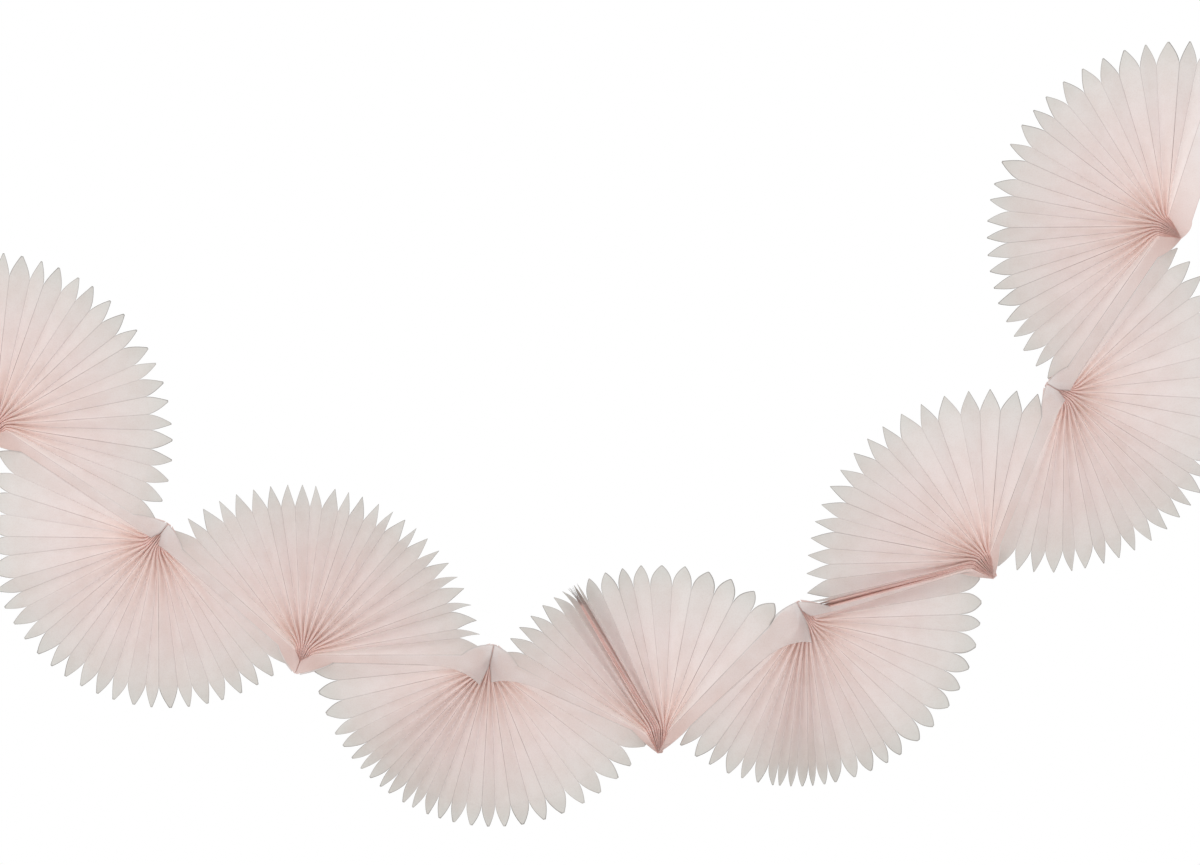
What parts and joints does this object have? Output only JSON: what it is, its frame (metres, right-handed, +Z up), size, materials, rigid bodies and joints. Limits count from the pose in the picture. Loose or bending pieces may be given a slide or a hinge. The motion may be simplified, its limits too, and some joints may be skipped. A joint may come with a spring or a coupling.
{
  "type": "paper fan garland",
  "caption": "Garland of pleated, pale translucent paper fans that open upwards and downwards by turns, glued panel to panel so that their pinched hubs form a chain hanging in a swag.",
  "frame": {"origin": "point of the left end panel, in the plane of the front folds", "axes": "+X along the garland from its left end to its right end, +Y from the front folds back through the pleats, +Z up"},
  "size_m": [1.0393, 0.0181, 0.5896],
  "materials": {
    "paper": "matte"
  },
  "bodies": {
    "root": {"fan_1": "paper", "fan_2": "paper", "fan_3": "paper", "fan_4": "paper", "fan_5": "paper", "fan_6": "paper", "fan_7": "paper", "fan_8": "paper", "fan_9": "paper"}
  },
  "joints": []
}
